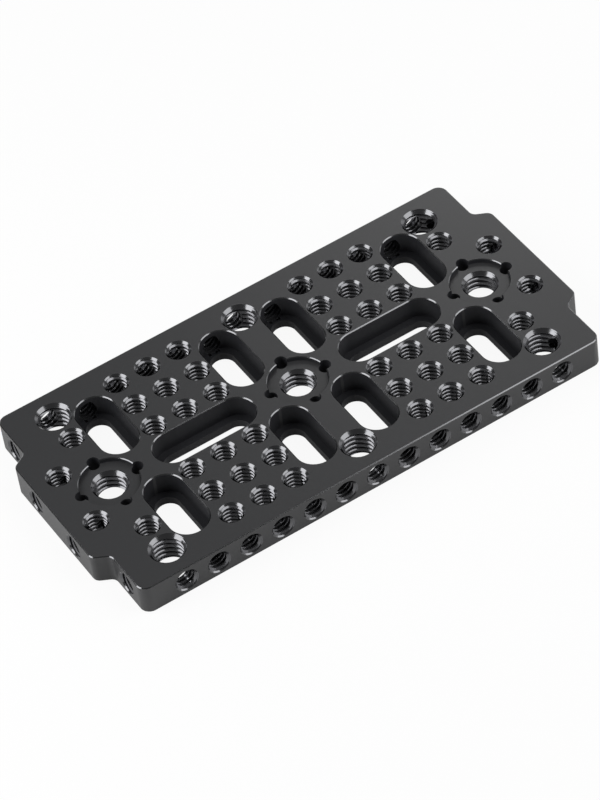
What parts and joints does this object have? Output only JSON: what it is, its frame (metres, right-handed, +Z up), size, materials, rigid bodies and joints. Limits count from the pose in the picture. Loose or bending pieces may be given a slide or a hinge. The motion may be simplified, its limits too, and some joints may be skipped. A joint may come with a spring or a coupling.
{
  "type": "camera cheese plate",
  "caption": "Flat machined mounting plate with a grid of tapped holes, stepped slots for screw heads, round locating recesses with pin holes, and tapped holes along its edges.",
  "frame": {"origin": "middle of the underside", "axes": "+X along the plate's length, +Y across it, +Z up out of the face with the wide slot mouths"},
  "size_m": [0.148, 0.074, 0.009],
  "materials": {
    "black_anodised": "satin black anodised, fine bead-blasted grain"
  },
  "bodies": {
    "root": {"plate": "black_anodised"}
  },
  "joints": []
}
